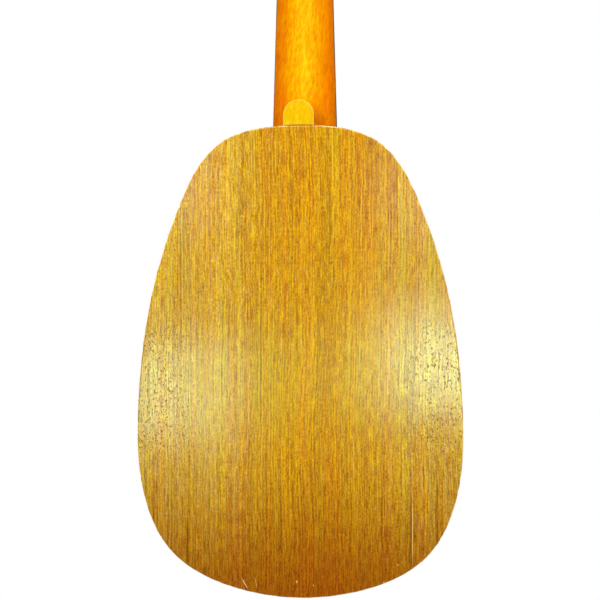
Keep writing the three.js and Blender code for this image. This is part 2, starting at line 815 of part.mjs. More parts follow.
const headstock = new THREE.Group();
headstock.position.z = headStart;
headstock.rotation.x = -headTilt;
dulcimer.add(headstock);
add(headstock, "headplate", headplate(), rosewood);
for (const [name, side] of [["bass", -1], ["treble", 1]]) {
  const plate = add(headstock, `${name}_tuner_plate`, tunerPlate(), nickel);
  plate.position.x = side * postInset;
}
for (const { name, side, row } of strings) {
  const machine = new THREE.Group();
  machine.position.set(side * postInset, 0, postRow[row]);
  headstock.add(machine);
  add(machine, `${name}_post`, post(), nickel);
  add(machine, `${name}_gear`, gear(), brass);
  add(machine, `${name}_bushing`, bushing(), nickel);
  const drive = new THREE.Group();
  drive.position.set(0, wormLevel, -wormDrop);
  machine.add(drive);
  add(drive, `${name}_worm`, worm(side), nickel);
  add(drive, `${name}_knob`, knob(side), ivory);
}

export default dulcimer;
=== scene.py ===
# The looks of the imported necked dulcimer: wood, lacquer, bone, plated metal and strings, the small
# parts that have no solid of their own, and a plain studio round it. Lengths are in metres, except
# that materials measure their grain in millimetres.

import math
from collections import namedtuple

import bmesh
import bpy
from mathutils import Matrix, Vector


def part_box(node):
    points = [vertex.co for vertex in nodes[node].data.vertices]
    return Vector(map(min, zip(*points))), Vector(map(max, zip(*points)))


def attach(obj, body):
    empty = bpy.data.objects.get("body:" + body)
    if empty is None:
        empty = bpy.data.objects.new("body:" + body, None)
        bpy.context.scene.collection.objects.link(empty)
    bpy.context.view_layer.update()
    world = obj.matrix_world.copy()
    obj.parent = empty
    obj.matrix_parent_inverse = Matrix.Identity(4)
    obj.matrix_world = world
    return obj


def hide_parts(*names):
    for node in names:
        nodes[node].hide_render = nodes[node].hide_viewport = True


MM = 0.001

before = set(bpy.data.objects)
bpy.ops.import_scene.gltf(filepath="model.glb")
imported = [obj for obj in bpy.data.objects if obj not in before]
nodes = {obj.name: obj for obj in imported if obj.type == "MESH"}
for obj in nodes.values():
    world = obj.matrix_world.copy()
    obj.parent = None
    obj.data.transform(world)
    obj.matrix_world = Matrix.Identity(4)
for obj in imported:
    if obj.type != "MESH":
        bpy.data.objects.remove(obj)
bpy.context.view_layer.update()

# Faces and lengths of the CAD model that the looks and the small parts are placed by.
SOUNDBOARD_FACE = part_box("soundboard")[0].y
BACK_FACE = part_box("back_plate")[1].y
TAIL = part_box("back_plate")[0].z
BODY_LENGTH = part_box("back_plate")[1].z - TAIL

# The headstock's own frame: x across it, y out of its back, and z up it.
HEAD_TILT = math.radians(12)
HEAD_START = 4.6 * MM
HEAD = Matrix.Translation((0, SOUNDBOARD_FACE, HEAD_START)) @ Matrix.Rotation(-HEAD_TILT, 4, "X")

# The side is -1 for the bass side, and the row is how far up the headstock the post stands.
String = namedtuple("String", "name radius side row")
STRINGS = [
    String("bass", 0.3 * MM, -1, 38 * MM),
    String("middle", 0.2 * MM, -1, 92 * MM),
    String("melody_inner", 0.17 * MM, 1, 92 * MM),
    String("melody_outer", 0.17 * MM, 1, 38 * MM),
]

# The tuning machines, in the headstock's frame.
POST_INSET = 17 * MM
POST_WAIST = 2.5 * MM
POST_EYE = -6 * MM
STRING_ARRIVAL = -4.5 * MM
STRIP_FACE = 15.62 * MM
STRIP_SCREW_ROWS = (21.5 * MM, 60.0 * MM, 101.2 * MM)
WORM_LEVEL = 19.1 * MM
WORM_DROP = 7.948 * MM
WHEEL_FACE = WORM_LEVEL + 1.62 * MM


# ---------- materials ----------


def rgb(code):
    """A colour written as on screen, such as "d6a72b", as the linear numbers a shader takes."""
    parts = [int(code[i : i + 2], 16) / 255 for i in (0, 2, 4)]
    return tuple(c / 12.92 if c <= 0.04045 else ((c + 0.055) / 1.055) ** 2.4 for c in parts) + (1,)


class Graph:
    """A tree of shader nodes. Each node's inputs are numbers, or other nodes' outputs."""

    def __init__(self, tree):
        self.tree = tree
        self.tree.nodes.clear()

    def node(self, kind, inputs, output=0, **settings):
        made = self.tree.nodes.new(kind)
        for name, value in settings.items():
            setattr(made, name, value)
        for name, value in inputs.items():
            if isinstance(value, bpy.types.NodeSocket):
                self.tree.links.new(value, made.inputs[name])
            else:
                made.inputs[name].default_value = value
        return None if output is None else made.outputs[output]

    def math(self, operation, a, b=0.0):
        return self.node("ShaderNodeMath", {0: a, 1: b}, operation=operation)

    def plus(self, a, b):
        return self.math("ADD", a, b)

    def less(self, a, b):
        return self.math("SUBTRACT", a, b)

    def times(self, a, b):
        return self.math("MULTIPLY", a, b)

    def scaled(self, vector, x, y, z):
        return self.node("ShaderNodeVectorMath", {0: vector, 1: (x, y, z)}, operation="MULTIPLY")

    def split(self, vector):
        parts = self.node("ShaderNodeSeparateXYZ", {0: vector})
        return [parts.node.outputs[i] for i in range(3)]

    def join(self, x, y, z):
        return self.node("ShaderNodeCombineXYZ", {0: x, 1: y, 2: z})

    def noise(self, vector, scales, detail=2.0, roughness=0.5):
        stretched = self.scaled(vector, *scales)
        inputs = {"Vector": stretched, "Scale": 1.0, "Detail": detail, "Roughness": roughness}
        return self.node("ShaderNodeTexNoise", inputs)

    def between(self, value, low, high):
        """0 below low and 1 above high, or the other way round, with a smooth step between."""
        inputs = {"Value": value, "From Min": low, "From Max": high}
        return self.node("ShaderNodeMapRange", inputs, interpolation_type="SMOOTHSTEP")

    def span(self, value, low, high):
        """A value of 0 to 1 as one of low to high."""
        return self.node("ShaderNodeMapRange", {"Value": value, "To Min": low, "To Max": high})

    def blend(self, layers):
        """Noises added up about their middle value, each as strongly as the number beside it."""
        total = 0.5
        for noise, strength in layers:
            total = self.plus(self.times(self.less(noise, 0.5), strength), total)
        return total

    def ramp(self, value, stops):
        made = self.node("ShaderNodeValToRGB", {0: value})
        elements = made.node.color_ramp.elements
        for i, (position, colour) in enumerate(stops):
            element = elements[i] if i < 2 else elements.new(position)
            element.position = position
            element.color = colour
        return made

    def mix(self, factor, a, b, blend="MIX"):
        inputs = {0: factor, 6: a, 7: b}
        return self.node("ShaderNodeMix", inputs, output=2, data_type="RGBA", blend_type=blend)

    def stain(self, factor, colour, tint):
        """A colour multiplied by a see-through tint."""
        return self.mix(factor, colour, (*tint, 1), "MULTIPLY")


class Shader(Graph):
    """One material: a Principled surface, and the nodes that feed it."""

    def __init__(self, name, inputs):
        self.material = bpy.data.materials.new(name)
        self.material.use_nodes = True
        super().__init__(self.material.node_tree)
        self.surface = self.node("ShaderNodeBsdfPrincipled", inputs)
        self.node("ShaderNodeOutputMaterial", {"Surface": self.surface}, output=None)

    def feed(self, name, socket):
        self.tree.links.new(socket, self.surface.node.inputs[name])

    def place(self):
        """Where a point is on the part, in millimetres."""
        where = self.node("ShaderNodeTexCoord", {}, output="Object")
        return self.scaled(where, 1 / MM, 1 / MM, 1 / MM)

    def let_light_in(self, weight, depth):
        self.surface.node.inputs["Subsurface Weight"].default_value = weight
        self.surface.node.inputs["Subsurface Scale"].default_value = depth

    def bump(self, height, strength, distance, coat_too=False):
        inputs = {"Height": height, "Strength": strength, "Distance": distance}
        normal = self.node("ShaderNodeBump", inputs)
        self.feed("Normal", normal)
        if coat_too:
            self.feed("Coat Normal", normal)


def lacquer(name, roughness, coat=0.0, coat_roughness=0.3, specular=0.3):
    inputs = {
        "Roughness": roughness,
        "Specular IOR Level": specular,
        "Coat Weight": coat,
        "Coat Roughness": coat_roughness,
        "Coat IOR": 1.45,
    }
    return Shader(name, inputs)


def wandering(shader, across, along):
    """Grain coordinates, in millimetres, whose lines drift a little sideways as real grain does."""
    flat = shader.join(across, 0.0, along)
    slow = shader.less(shader.noise(flat, (0.012, 1, 0.006)), 0.5)
    quick = shader.less(shader.noise(flat, (0.05, 1, 0.022)), 0.5)
    drift = shader.plus(shader.times(slow, 11), shader.times(quick, 2))
    return shader.join(shader.plus(across, drift), 0.0, along)


# Marks in the back's lacquer, in millimetres: middle across and up from the tail, half length, half
# width, lean in degrees, and colour. Two scratches, four dents, and thin open joints, one of them
# with a bright lip.
BACK_MARKS = [
    (34, 8.5, 4.5, 0.35, 30, "f0c888"),
    (27, 9.5, 4, 0.25, 12, "d8a860"),
    (1, 10.5, 1, 0.6, 0, "e8b868"),
    (-9.5, 8.5, 0.6, 0.5, 0, "d8a860"),
    (-63, 22.5, 0.8, 0.7, 0, "e09a48"),
    (-54, 11, 0.7, 0.6, 0, "f0cc80"),
    (-71, 48, 27, 0.35, 0, "6e4410"),
    (-72, 44, 24, 0.3, 0, "f0cc78"),
    (71, 36, 21, 0.4, 0, "6e4410"),
]


def add_mark(shader, colour, place, mark):
    x, up, half_length, half_width, lean, paint = mark
    inputs = {
        "Vector": place,
        "Location": (x, 0, TAIL / MM + up),
        "Rotation": (0, math.radians(lean), 0),
        "Scale": (half_width, 1e6, half_length),
    }
    inside = shader.node("ShaderNodeMapping", inputs, vector_type="TEXTURE")
    reach = shader.node("ShaderNodeVectorMath", {0: inside}, output="Value", operation="LENGTH")
    return shader.mix(shader.between(reach, 1.1, 0.5), colour, rgb(paint))


# Striped mahogany: its colour, where it is plainer tan, its short dark dashes, and its relief.
Stripes = namedtuple("Stripes", "colour plain dash relief")


def striped_mahogany(shader, grain):
    band = shader.noise(grain, (0.12, 1, 0.002), detail=2)
    line = shader.noise(grain, (1.0, 1, 0.01), detail=1)
    dash = shader.noise(grain, (0.95, 1, 0.11), detail=1)
    grit = shader.noise(grain, (1.1, 1, 0.6), detail=1)
    tone = shader.blend([(band, 0.3), (line, 0.75), (dash, 0.9), (grit, 0.8)])
    gold = shader.ramp(
        tone,
        [
            (0.0, rgb("844e02")),
            (1.0, rgb("fbee49")),
            (0.3, rgb("b67e07")),
            (0.5, rgb("d7a310")),
            (0.7, rgb("edc51f")),
        ],
    )
    tan = shader.ramp(tone, [(0.0, rgb("845624")), (1.0, rgb("f3db77")), (0.5, rgb("d09d3e"))])
    olive = shader.ramp(tone, [(0.0, rgb("6e5707")), (1.0, rgb("e9e469")), (0.5, rgb("bba537"))])
    # Narrow stripes and short flecks of plainer tan, and greener stripes.
    stripe = shader.noise(grain, (0.75, 1, 0.006), detail=2)
    fleck = shader.noise(grain, (0.85, 1, 0.09), detail=1)
    plain = shader.between(shader.blend([(stripe, 0.9), (fleck, 0.9)]), 0.46, 0.62)
    plain = shader.times(plain, 0.75)
    colour = shader.mix(plain, gold, tan)
    green = shader.between(shader.noise(grain, (0.5, 1, 0.012), detail=2), 0.50, 0.62)
    colour = shader.mix(shader.times(green, 0.4), colour, olive)
    # Broad, faint bands of a pinker brown.
    pink = shader.between(shader.noise(grain, (0.1, 1, 0.003), detail=1), 0.42, 0.62)
    colour = shader.stain(shader.times(pink, 0.7), colour, (1.04, 0.9, 1.4))
    pores = shader.between(shader.noise(grain, (1.2, 1, 0.2), detail=1), 0.63, 0.74)
    colour = shader.mix(shader.times(pores, 0.6), colour, rgb("6e4704"))
    silk = shader.between(shader.noise(grain, (1.0, 1, 0.012), detail=1), 0.62, 0.74)
    colour = shader.mix(shader.times(silk, 0.65), colour, rgb("f3db44"))
    return Stripes(colour, plain, dash, shader.less(line, shader.times(pores, 0.8)))


def finish_veneer(shader, wood, colour, relief):
    shader.feed("Base Color", colour)
    shader.feed("Roughness", shader.span(wood.dash, 0.46, 0.62))
    shader.bump(relief, 0.3, 0.15 * MM, coat_too=True)
    return shader.material


def side_veneer(name):
    """Amber-stained veneer whose grain follows the bent side, measured round the body's middle."""
    shader = lacquer(name, 0.55, coat=0.25, coat_roughness=0.3, specular=0.01)
    x, y, z = shader.split(shader.place())
    middle = (TAIL + 0.45 * BODY_LENGTH) / MM
    mean_radius = 115
    turn = shader.math("ARCTAN2", x, shader.less(z, middle))
    wood = striped_mahogany(shader, wandering(shader, y, shader.times(turn, mean_radius)))
    colour = shader.stain(1.0, wood.colour, (1.04, 0.86, 0.24))
    return finish_veneer(shader, wood, colour, wood.relief)


def back_veneer(name):
    """Amber-stained veneer under satin lacquer, with its stain and painted shade, pits, marks and a
    rim painted pale as highlight and wear.
    """
    coat = 0.5
    shader = lacquer(name, 0.55, coat, coat_roughness=0.15, specular=0.01)
    place = shader.place()
    x, y, z = shader.split(place)
    grain = wandering(shader, x, z)
    wood = striped_mahogany(shader, grain)
    colour = stained_and_shaded_back(shader, wood, grain, z)
    pits = sunken_pits(shader, place)
    colour = shader.mix(pits, colour, rgb("5a390a"))
    shader.feed("Coat Weight", shader.span(pits, coat, 0.0))
    for mark in BACK_MARKS:
        colour = add_mark(shader, colour, place, mark)
    # The rim is painted pale in patches: a painted highlight along its rounded edge, with some wear.
    rim = shader.between(y, BACK_FACE / MM - 0.05, BACK_FACE / MM - 0.3)
    rim_patches = shader.between(shader.noise(place, (0.12, 0.5, 0.12), detail=3), 0.44, 0.54)
    rim_highlight_and_wear = shader.times(shader.times(rim, rim_patches), 0.9)
    colour = shader.mix(rim_highlight_and_wear, colour, rgb("ffe6a4"))
    relief = shader.less(wood.relief, shader.times(pits, 3.0))
    return finish_veneer(shader, wood, colour, relief)


def stained_and_shaded_back(shader, wood, grain, z):
    """The stain is most golden near the middle but less on the tan; the tail is darker, partly a
    deeper stain and partly painted shade.
    """
    golden_line = -13
    tail = TAIL / MM
    off_line = shader.math("ABSOLUTE", shader.less(shader.split(grain)[0], golden_line))
    middle = shader.between(off_line, 72, 14)
    middle = shader.times(middle, shader.less(1.0, shader.times(wood.plain, 0.25)))
    colour = shader.stain(middle, wood.colour, (1.0, 0.82, 0.01))
    # Darker and redder towards the tail: partly a deeper stain, partly painted shade.
    return shader.stain(shader.between(z, tail + 107, tail - 1), colour, (0.56, 0.33, 0.02))


def sunken_pits(shader, place):
    """Small pits towards the edges of the body's wide part, where the filler has sunk."""
    x, _, z = shader.split(place)
    widest = TAIL / MM + 130
    pits = shader.between(shader.noise(place, (1.25, 1, 0.85), detail=0), 0.67, 0.71)
    outer = shader.between(shader.math("ABSOLUTE", x), 52, 84)
    level = shader.between(shader.math("ABSOLUTE", shader.less(z, widest)), 62, 30)
    return shader.times(shader.times(pits, outer), level)


def neck_wood(name):
    """Plain mahogany with short streaks, under a warm orange lacquer."""
    light, middle, dark = rgb("f09600"), rgb("ee7e00"), rgb("d86600")
    shader = lacquer(name, 0.45, coat=0.02, coat_roughness=0.35, specular=0.0)
    x, y, z = shader.split(shader.place())
    skewed = shader.plus(x, shader.times(z, 0.06))
    grain = wandering(shader, shader.plus(skewed, shader.times(y, 0.7)), z)
    cloud = shader.noise(grain, (0.16, 1, 0.02), detail=3)
    streak = shader.noise(grain, (0.75, 1, 0.045), detail=3)
    fine = shader.noise(grain, (2.0, 1, 0.14), detail=2)
    # Short flecks that lean across the grain.
    leaning = shader.join(shader.plus(x, shader.times(z, 0.25)), y, z)
    fleck = shader.noise(leaning, (0.6, 0.4, 0.2), detail=3, roughness=0.6)
    tone = shader.blend([(cloud, 0.8), (streak, 0.9), (fine, 0.9), (fleck, 1.3)])
    colour = shader.ramp(tone, [(0.0, dark), (1.0, light), (0.5, middle)])
    gold = shader.ramp(tone, [(0.1, middle), (0.9, rgb("f6da08")), (0.5, rgb("f0b600"))])
    # Painted highlight: gold along the middle of the neck's back, and an even gold tone on the
    # headstock.
    colour = shader.mix(shader.times(neck_highlight_and_head_gold(shader, x, z), 0.85), colour, gold)
    # Painted shade on the heel, darkening towards where it meets the body.
    colour = shader.stain(shader.between(z, -178, -205), colour, (0.79, 0.9, 0.5))
    pore = shader.between(shader.noise(grain, (2.2, 1, 0.17), detail=1), 0.64, 0.76)
    colour = shader.mix(shader.times(pore, 0.4), colour, rgb("b36206"))
    shader.feed("Base Color", colour)
    shader.feed("Roughness", shader.span(fine, 0.42, 0.56))
    shader.bump(shader.less(streak, pore), 0.08, 0.12 * MM)
    return shader.material


def neck_highlight_and_head_gold(shader, x, z):
    """How golden the neck is painted: a painted highlight along the middle of its back, where the
    light falls most, fading out before the heel. The headstock is an even gold all over."""
    along_middle = shader.between(shader.math("ABSOLUTE", x), 18, 4)
    on_shaft = shader.times(along_middle, shader.between(z, -202, -172))
    head = shader.between(z, -15, 20)
    return shader.plus(shader.times(on_shaft, shader.less(1.0, head)), shader.times(head, 0.4))


def golden_cap_wood(name):
    """The paler, plainer wood of the heel cap."""
    shader = lacquer(name, 0.45, coat=0.02, coat_roughness=0.35, specular=0.0)
    x, y, z = shader.split(shader.place())
    grain = wandering(shader, shader.plus(x, shader.times(z, 0.1)), z)
    streak = shader.noise(grain, (0.5, 1, 0.06), detail=3)
    fine = shader.noise(grain, (1.6, 1, 0.3), detail=2)
    tone = shader.blend([(streak, 1.0), (fine, 1.2)])
    colour = shader.ramp(tone, [(0.0, rgb("eca804")), (1.0, rgb("fcdc28")), (0.5, rgb("f2c006"))])
    # Its edge is painted pale all round: a painted highlight.
    edge = shader.between(y, BACK_FACE / MM - 0.05, BACK_FACE / MM - 0.4)
    colour = shader.mix(shader.times(edge, 0.8), colour, rgb("fff2a8"))
    shader.feed("Base Color", colour)
    shader.feed("Roughness", shader.span(fine, 0.42, 0.56))
    shader.bump(fine, 0.06, 0.1 * MM)
    return shader.material


def spruce_top(name):
    """Two halves of honey-coloured spruce, mirrored about the centre line."""
    shader = lacquer(name, 0.5, coat=0.9, coat_roughness=0.25, specular=0.15)
    x, _, z = shader.split(shader.place())
    grain = wandering(shader, shader.math("ABSOLUTE", x), shader.times(z, 0.35))
    across = shader.split(grain)[0]
    spacing = shader.noise(shader.join(across, 0.0, 0.0), (0.09, 1, 1), detail=2)
    year = shader.plus(shader.times(across, 0.62), shader.times(spacing, 9.0))
    late = shader.between(shader.math("FRACT", year), 0.45, 0.97)
    fibre = shader.noise(grain, (2.8, 1, 0.06), detail=3)
    broad = shader.noise(grain, (0.05, 1, 0.01), detail=2)
    colour = shader.ramp(late, [(0.0, rgb("edc27c")), (1.0, rgb("c98f42"))])
    colour = shader.mix(shader.times(fibre, 0.4), colour, rgb("d9a55a"))
    colour = shader.mix(shader.times(broad, 0.5), colour, rgb("e3ad5c"))
    silk = shader.between(shader.noise(grain, (0.35, 1, 0.4), detail=2), 0.56, 0.72)
    colour = shader.mix(shader.times(silk, 0.25), colour, rgb("f6d492"))
    shader.feed("Base Color", colour)
    shader.feed("Roughness", shader.span(fibre, 0.42, 0.56))
    shader.bump(shader.times(late, -1.0), 0.1, 0.1 * MM)
    return shader.material


def rosewood(name, roughness):
    """Oiled dark rosewood, with purple-brown streaks and open pores."""
    shader = lacquer(name, roughness, specular=0.35)
    x, y, z = shader.split(shader.place())
    grain = wandering(shader, shader.plus(x, shader.times(y, 0.6)), z)
    band = shader.noise(grain, (0.3, 1, 0.012), detail=4, roughness=0.6)
    fine = shader.noise(grain, (1.9, 1, 0.05), detail=3)
    tone = shader.plus(shader.times(band, 0.6), shader.times(fine, 0.4))
    stops = [(0.38, rgb("1d100c")), (0.62, rgb("63402c")), (0.5, rgb("3a2218"))]
    colour = shader.ramp(tone, stops)
    pore = shader.between(shader.noise(grain, (3.2, 1, 0.3), detail=1.5), 0.60, 0.70)
    colour = shader.mix(shader.times(pore, 0.8), colour, rgb("0d0705"))
    shader.feed("Base Color", colour)
    shader.feed("Roughness", shader.span(fine, roughness - 0.08, roughness + 0.12))
    shader.bump(shader.times(pore, -1.0), 0.25, 0.15 * MM)
    return shader.material


def bare_wood(name):
    shader = lacquer(name, 0.75, specular=0.2)
    x, _, z = shader.split(shader.place())
    fine = shader.noise(wandering(shader, z, x), (1.2, 1, 0.05), detail=4)
    colour = shader.ramp(fine, [(0.35, rgb("b58d5c")), (0.65, rgb("dfc08c"))])
    shader.feed("Base Color", colour)
    shader.bump(fine, 0.2, 0.2 * MM)
    return shader.material


def bone(name):
    """Polished bone, with faint darker tubules."""
    shader = lacquer(name, 0.35, coat=0.3, coat_roughness=0.15, specular=0.5)
    shader.let_light_in(0.15, 1 * MM)
    place = shader.place()
    cloud = shader.noise(place, (0.3, 0.3, 0.3), detail=3)
    tubule = shader.between(shader.noise(place, (0.6, 5, 5), detail=2), 0.6, 0.75)
    colour = shader.ramp(cloud, [(0.35, rgb("d8caa6")), (0.65, rgb("e8dfc4"))])
    colour = shader.mix(shader.times(tubule, 0.35), colour, rgb("b7a074"))
    shader.feed("Base Color", colour)
    shader.feed("Roughness", shader.span(cloud, 0.28, 0.42))
    shader.bump(tubule, 0.05, 0.1 * MM)
    return shader.material


def metal(name, bright, dull, roughness, along=(0.4, 0.4, 0.4)):
    """Handled metal: bright where it is rubbed, duller and rougher in patches, with fine marks that
    are longest where along is least."""
    shader = Shader(name, {"Metallic": 1.0, "Roughness": roughness})
    place = shader.place()
    patch = shader.noise(place, (0.22, 0.22, 0.22), detail=4, roughness=0.6)
    mark = shader.noise(place, tuple(8 * a for a in along), detail=3, roughness=0.7)
    worn = shader.between(patch, 0.38, 0.66)
    shader.feed("Base Color", shader.mix(worn, rgb(bright), rgb(dull)))
    spread = shader.plus(shader.times(worn, 0.14), shader.span(mark, -0.06, 0.08))
    shader.feed("Roughness", shader.plus(spread, roughness))
    shader.bump(mark, 0.06, 0.08 * MM)
    return shader.material


def wound_string(name):
    """Bronze wire wound round a steel core: ridges along the string."""
    turn_width = 0.28
    shader = Shader(name, {"Metallic": 1.0, "Roughness": 0.32})
    place = shader.place()
    z = shader.split(place)[2]
    ridge = shader.math("SINE", shader.times(z, 2 * math.pi / turn_width))
    patch = shader.noise(place, (0.5, 0.5, 0.08), detail=2)
    colour = shader.ramp(patch, [(0.35, rgb("a06a3a")), (0.65, rgb("d69a5a"))])
    valley = shader.between(ridge, -0.2, -0.9)
    shader.feed("Base Color", shader.mix(valley, colour, rgb("5c3a20")))
    shader.bump(ridge, 0.5, 0.06 * MM)
    return shader.material


def ivory_plastic(name):
    """Aged ivory-coloured plastic, with the faint layering that such buttons have."""
    shader = lacquer(name, 0.3, coat=0.5, coat_roughness=0.08, specular=0.5)
    shader.let_light_in(0.25, 2 * MM)
    place = shader.place()
    z = shader.split(place)[2]
    warp = shader.noise(place, (0.12, 0.12, 0.12), detail=2)
    layer = shader.math("SINE", shader.plus(shader.times(z, 2.2), shader.times(warp, 16)))
    colour = shader.mix(shader.span(layer, 0.35, 0.65), rgb("d6c59a"), rgb("e4d6b0"))
    grime = shader.between(shader.noise(place, (0.5, 0.5, 0.5), detail=4), 0.58, 0.75)
    colour = shader.mix(shader.times(grime, 0.3), colour, rgb("bfa878"))
    shader.feed("Base Color", colour)
    shader.feed("Roughness", shader.span(grime, 0.24, 0.42))
    shader.bump(warp, 0.05, 0.2 * MM)
    return shader.material


def pearl(name):
    shader = lacquer(name, 0.2, coat=1.0, coat_roughness=0.05, specular=0.6)
    swirl = shader.noise(shader.place(), (0.7, 0.7, 0.7), detail=4, roughness=0.65)
    silver, cream, pink, green = rgb("cfd6cf"), rgb("f5f1e6"), rgb("e8dfe2"), rgb("dfe8e6")
    colour = shader.ramp(swirl, [(0.35, silver), (0.66, cream), (0.45, pink), (0.55, green)])
    shader.feed("Base Color", colour)
    shader.feed("Roughness", shader.span(swirl, 0.12, 0.3))
    return shader.material


side_wood = side_veneer("amber_side_veneer")
board_wood = rosewood("fingerboard_rosewood", 0.48)
nut_bone = bone("polished_bone")
nickel = metal("nickel_plate", "dcd8cd", "b3ac9b", 0.2)
fret_metal = metal("nickel_silver_fretwire", "dedad0", "bdb7a8", 0.22, (3, 0.4, 0.4))
gear_brass = metal("cut_brass", "dfb45a", "a97c34", 0.28)
plain_steel = metal("plain_string_steel", "dadada", "b4b2ae", 0.22, (2, 2, 0.1))
wound_bronze = wound_string("bronze_winding")
button_plastic = ivory_plastic("ivory_button_plastic")
dot_pearl = pearl("pearl_dot")
inside_wood = bare_wood("bare_inside_wood")

LOOKS = {
    "back_plate": back_veneer("amber_back_veneer"),
    "soundboard": spruce_top("honey_spruce"),
    "bass_side": side_wood,
    "treble_side": side_wood,
    "neck": neck_wood("amber_neck_wood"),
    "heel_cap": golden_cap_wood("golden_cap_wood"),
    "fingerboard": board_wood,
    "bridge": board_wood,
    "headplate": rosewood("headplate_rosewood", 0.3),
    "nut": nut_bone,
    "saddle": nut_bone,
    "bass_string": wound_bronze,
}
LOOKS_BY_END = {
    "_string": plain_steel,
    "_post": nickel,
    "_bushing": nickel,
    "_plate": nickel,
    "_worm": nickel,
    "_gear": gear_brass,
    "_knob": button_plastic,
}


def look_of(name):
    if name in LOOKS:
        return LOOKS[name]
    if name.startswith("fret_"):
        return fret_metal
    for end, material in LOOKS_BY_END.items():
        if name.endswith(end):
            return material
    return inside_wood


# ---------- the CAD parts ----------

SHARP_ANGLE = math.radians(32)
ROUNDED_ANGLE = math.radians(50)


def smoothing_group():
    """Geometry nodes that join a part's triangles and shade it smooth except over sharp edges."""
    group = bpy.data.node_groups.new("smooth_by_angle", "GeometryNodeTree")
    group.interface.new_socket("Geometry", in_out="INPUT", socket_type="NodeSocketGeometry")
    angle = group.interface.new_socket("Angle", in_out="INPUT", socket_type="NodeSocketFloat")
    angle.default_value = SHARP_ANGLE
    group.interface.new_socket("Geometry", in_out="OUTPUT", socket_type="NodeSocketGeometry")
    new = group.nodes.new
    link = group.links.new
    source = new("NodeGroupInput")
    result = new("NodeGroupOutput")
    weld = new("GeometryNodeMergeByDistance")
    weld.inputs["Distance"].default_value = 0.002 * MM
    plain = new("GeometryNodeRemoveAttribute")
    plain.inputs["Name"].default_value = "custom_normal"
    faces = new("GeometryNodeSetShadeSmooth")
    faces.domain = "FACE"
    edges = new("GeometryNodeSetShadeSmooth")
    edges.domain = "EDGE"
    edges.inputs["Shade Smooth"].default_value = False
    fold = new("GeometryNodeInputMeshEdgeAngle")
    sharp = new("FunctionNodeCompare")
    link(source.outputs["Geometry"], weld.inputs["Geometry"])
    link(weld.outputs[0], plain.inputs["Geometry"])
    link(plain.outputs[0], faces.inputs["Geometry"])
    link(faces.outputs[0], edges.inputs["Geometry"])
    link(fold.outputs["Unsigned Angle"], sharp.inputs[0])
    link(source.outputs["Angle"], sharp.inputs[1])
    link(sharp.outputs[0], edges.inputs["Selection"])
    link(edges.outputs[0], result.inputs[0])
    return group


# How far each part's sharp edges are rounded over, in millimetres.
ROUNDING = {
    "back_plate": 1.1,
    "soundboard": 0.9,
    "heel_cap": 0.6,
    "neck": 0.5,
    "headplate": 0.35,
    "fingerboard": 0.2,
    "bridge": 0.5,
    "nut": 0.25,
    "saddle": 0.2,
    "bass_tuner_plate": 0.15,
    "treble_tuner_plate": 0.15,
}


def finish_cad_part(name, part, smoothing):
    part.data.materials.clear()
    part.data.materials.append(look_of(name))
    smooth = part.modifiers.new("smooth", "NODES")
    smooth.node_group = smoothing
    if name in ROUNDING:
        # A flat face is made one face first, because narrow triangles would hold the rounding back.
        flat = part.modifiers.new("flat_faces", "DECIMATE")
        flat.decimate_type = "DISSOLVE"
        flat.angle_limit = math.radians(0.2)
        bevel = part.modifiers.new("rounded_edges", "BEVEL")
        bevel.width = ROUNDING[name] * MM
        bevel.segments = 4
        bevel.limit_method = "ANGLE"
        bevel.angle_limit = ROUNDED_ANGLE
        bevel.harden_normals = True
        bevel.use_clamp_overlap = True


smoothing = smoothing_group()
for name, part in nodes.items():
    finish_cad_part(name, part, smoothing)


# ---------- small parts ----------


CREASE = math.radians(35)


def piece(name, shape, body, place=Matrix.Identity(4)):
    """A mesh or a curve as a new piece, on the body that it moves with."""
    made = bpy.data.objects.new(name, shape)
    bpy.context.scene.collection.objects.link(made)
    made.matrix_world = place
    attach(made, body)
    return made


def creased(mesh, angle):
    """Shades a mesh smooth, except over edges that fold by more than the angle."""
    mesh.shade_smooth()
    mesh.set_sharp_from_angle(angle=angle)


def to_mesh(name, shape, material, crease=CREASE):
    mesh = bpy.data.meshes.new(name)
    bmesh.ops.recalc_face_normals(shape, faces=shape.faces)
    shape.to_mesh(mesh)
    shape.free()
    mesh.materials.append(material)
    creased(mesh, crease)
    return mesh


def turned(profile, sides=40):
    """A closed profile of (radius, height) points, turned about the Y axis."""
    same_point = 1e-7
    shape = bmesh.new()
    rings = []
    for i in range(sides):
        angle = 2 * math.pi * i / sides
        c, s = math.cos(angle), math.sin(angle)
        rings.append([shape.verts.new((r * c, y, r * s)) for r, y in profile])
    count = len(profile)
    for i in range(sides):
        a, b = rings[i], rings[(i + 1) % sides]
        for j in range(count):
            k = (j + 1) % count
            shape.faces.new((a[j], b[j], b[k], a[k]))
    bmesh.ops.remove_doubles(shape, verts=shape.verts, dist=same_point)
    bmesh.ops.dissolve_degenerate(shape, edges=shape.edges, dist=same_point)
    return shape


def domed_profile(radius, rim, height):
    """The profile of a screw head, from its seat up its rim and over its dome."""
    steps = 8
    dome = [
        (radius * math.cos(t), rim + (height - rim) * math.sin(t))
        for t in [math.pi / 2 * i / steps for i in range(steps)]
    ]
    return [(0, 0), (radius * 0.96, 0), *dome, (0, height)]


